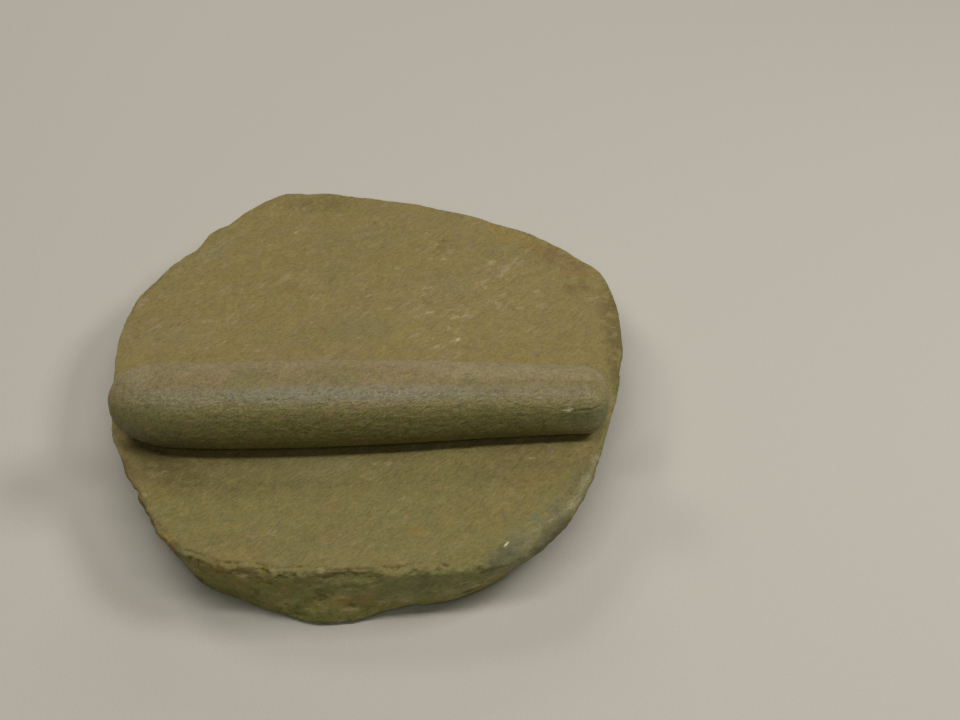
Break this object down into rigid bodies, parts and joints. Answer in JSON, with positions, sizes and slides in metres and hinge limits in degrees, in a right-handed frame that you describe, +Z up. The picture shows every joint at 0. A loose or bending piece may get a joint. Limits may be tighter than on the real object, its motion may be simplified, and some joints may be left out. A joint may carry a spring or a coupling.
{
  "type": "stone quern",
  "caption": "Saddle quern: a flat, roughly round stone grinding slab with broken edges and a bar-shaped handstone resting across it.",
  "frame": {"origin": "on the slab's flat underside, at the middle of the plan", "axes": "+X along the handstone, +Y from the broken front edge to the back of the slab, +Z up, out of the grinding face"},
  "size_m": [0.32, 0.364, 0.0875],
  "materials": {
    "slab_stone": "matt olive-brown worn stone with fine pecking, pale specks and a rough broken edge",
    "handstone_stone": "matt olive-grey pecked stone, a little smoother and greyer where it was gripped"
  },
  "bodies": {
    "root": {"grinding_slab": "slab_stone", "handstone": "handstone_stone"}
  },
  "joints": []
}
